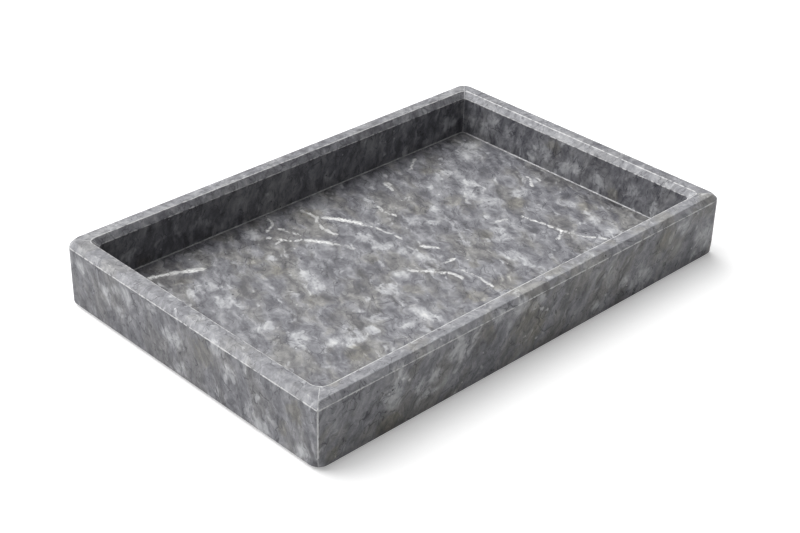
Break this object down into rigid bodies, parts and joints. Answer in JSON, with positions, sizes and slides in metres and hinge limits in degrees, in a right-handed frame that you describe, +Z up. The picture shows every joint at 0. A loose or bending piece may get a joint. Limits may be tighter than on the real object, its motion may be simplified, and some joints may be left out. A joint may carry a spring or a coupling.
{
  "type": "tea tray",
  "caption": "Rectangular grey marble tray: a flat floor slab set between mitred upright walls with a bevelled rim, standing on thin round pads.",
  "frame": {"origin": "on the table under the middle of the tray", "axes": "+X along the long side, +Y from the front wall to the back wall, +Z up"},
  "size_m": [0.3, 0.2, 0.038],
  "materials": {
    "floor_marble": "honed grey marble with pale veins",
    "front_marble": "honed grey marble",
    "back_marble": "honed grey marble",
    "left_marble": "honed grey marble",
    "right_marble": "honed grey marble",
    "stone_glue": "colour-matched polyester stone adhesive, sanded flush",
    "pad_rubber": "matt anti-slip pad"
  },
  "bodies": {
    "root": {"base_slab": "floor_marble", "front_wall": "front_marble", "back_wall": "back_marble", "left_wall": "left_marble", "right_wall": "right_marble", "floor_seam": "stone_glue", "seam_front_left": "stone_glue", "seam_front_right": "stone_glue", "seam_back_left": "stone_glue", "seam_back_right": "stone_glue", "pad_front_left": "pad_rubber", "pad_front_right": "pad_rubber", "pad_back_left": "pad_rubber", "pad_back_right": "pad_rubber"}
  },
  "joints": []
}
